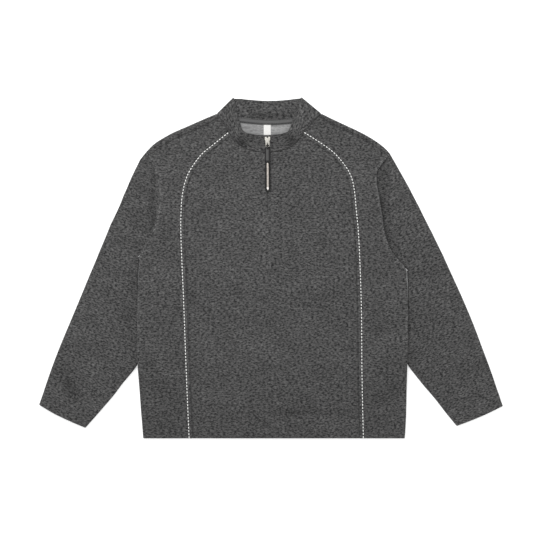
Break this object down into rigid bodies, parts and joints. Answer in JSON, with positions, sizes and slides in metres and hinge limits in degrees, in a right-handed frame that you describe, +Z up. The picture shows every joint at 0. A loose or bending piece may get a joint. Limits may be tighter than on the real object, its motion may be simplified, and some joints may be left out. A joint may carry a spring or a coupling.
{
  "type": "quarter zip sweater",
  "caption": "Quarter-zip knitted sweater laid flat: stand collar, concealed front zip with a long pull, princess-seamed front and long sleeves.",
  "frame": {"origin": "middle of the garment's outline, on the surface that it lies on", "axes": "+X to the right as seen from above, across both sleeves; +Y towards the collar; +Z up, the way the front faces"},
  "size_m": [0.975, 0.7176, 0.0118],
  "materials": {
    "marl_knit": "matt marl knit, dark grey",
    "neck_tape": "smooth woven tape, dark grey",
    "label": "bare off-white ribbon",
    "warm_silver": "satin plated metal, warm silver",
    "black_enamel": "glossy black"
  },
  "bodies": {
    "garment": {"back_panel": "marl_knit", "front_centre_panel": "marl_knit", "front_side_left": "marl_knit", "front_side_right": "marl_knit", "sleeve_left": "marl_knit", "sleeve_right": "marl_knit", "collar": "marl_knit", "neck_tape": "neck_tape", "label": "label", "zip_tape": "neck_tape", "zip_slider": "warm_silver"},
    "zip_pull": {"pull_strap": "black_enamel", "pull_frame": "black_enamel", "pull_bar": "warm_silver"}
  },
  "joints": [
    {"name": "pull_hinge", "type": "hinge", "parent": "garment", "child": "zip_pull", "pos_m": [-0.0074, 0.2572, 0.0094], "axis": [-1, -0.007, 0], "range_deg": [0, 150]}
  ]
}
